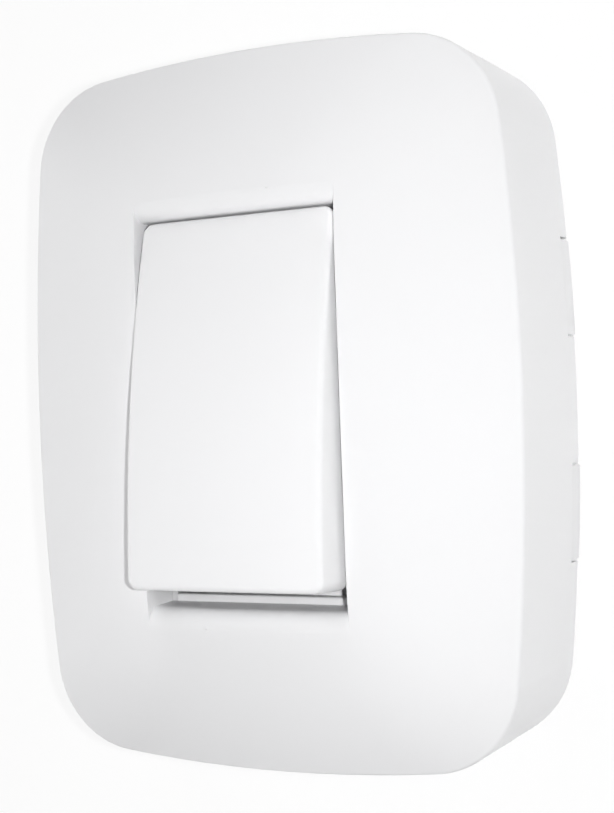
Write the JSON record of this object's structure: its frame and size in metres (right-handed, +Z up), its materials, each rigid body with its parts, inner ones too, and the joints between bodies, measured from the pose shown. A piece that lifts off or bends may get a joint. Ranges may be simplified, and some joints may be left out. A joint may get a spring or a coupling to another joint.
{
  "type": "surface mount rocker switch",
  "caption": "Surface mounted wall switch: bowed box with a pillow-shaped cover and a large tilting rocker, two-way see-saw contact inside.",
  "frame": {"origin": "centre of the back face, on the wall", "axes": "+Z up the wall, +X to the right seen from the front, +Y into the wall, so the front faces -Y"},
  "size_m": [0.0806, 0.0396, 0.1066],
  "materials": {
    "cover_plastic": "satin gloss",
    "key_plastic": "satin gloss",
    "base_plastic": "fine matt",
    "housing_plastic": "fine matt",
    "terminal_brass": "bright stamped",
    "contact_silver": "bright silver alloy",
    "plated_steel": "zinc plated",
    "spring_steel": "drawn wire"
  },
  "bodies": {
    "case": {"wall_base": "base_plastic", "front_cover": "cover_plastic", "inner_frame": "base_plastic", "mechanism_housing": "housing_plastic", "common_terminal": "terminal_brass", "upper_terminal": "terminal_brass", "lower_terminal": "terminal_brass", "upper_fixed_contact": "contact_silver", "lower_fixed_contact": "contact_silver", "common_clamp": "plated_steel", "upper_clamp": "plated_steel", "lower_clamp": "plated_steel", "common_screw": "plated_steel", "upper_screw": "plated_steel", "lower_screw": "plated_steel", "mechanism_screws": "plated_steel"},
    "key": {"rocker": "key_plastic", "plunger_spring": "spring_steel"},
    "sprung_plunger": {"plunger": "housing_plastic"},
    "see_saw": {"moving_contact": "terminal_brass", "upper_moving_tip": "contact_silver", "lower_moving_tip": "contact_silver"}
  },
  "joints": [
    {"name": "rocker_tilt", "type": "hinge", "parent": "case", "child": "key", "pos_m": [0, -0.0248, 0], "axis": [1, 0, 0], "range_deg": [0, 17]},
    {"name": "plunger_slide", "type": "slide", "parent": "key", "child": "sprung_plunger", "axis": [0, -0.989, 0.1478], "range_m": [0, 0.0012], "stiffness_N_per_m": 900, "deforming": ["plunger_spring"]},
    {"name": "see_saw_tilt", "type": "hinge", "parent": "case", "child": "see_saw", "pos_m": [0, -0.0141, 0], "axis": [1, 0, 0], "range_deg": [-17.3, 0]}
  ],
  "couplings": [
    {"joint": "see_saw_tilt", "follows": "rocker_tilt", "ratio": -1.015}
  ]
}
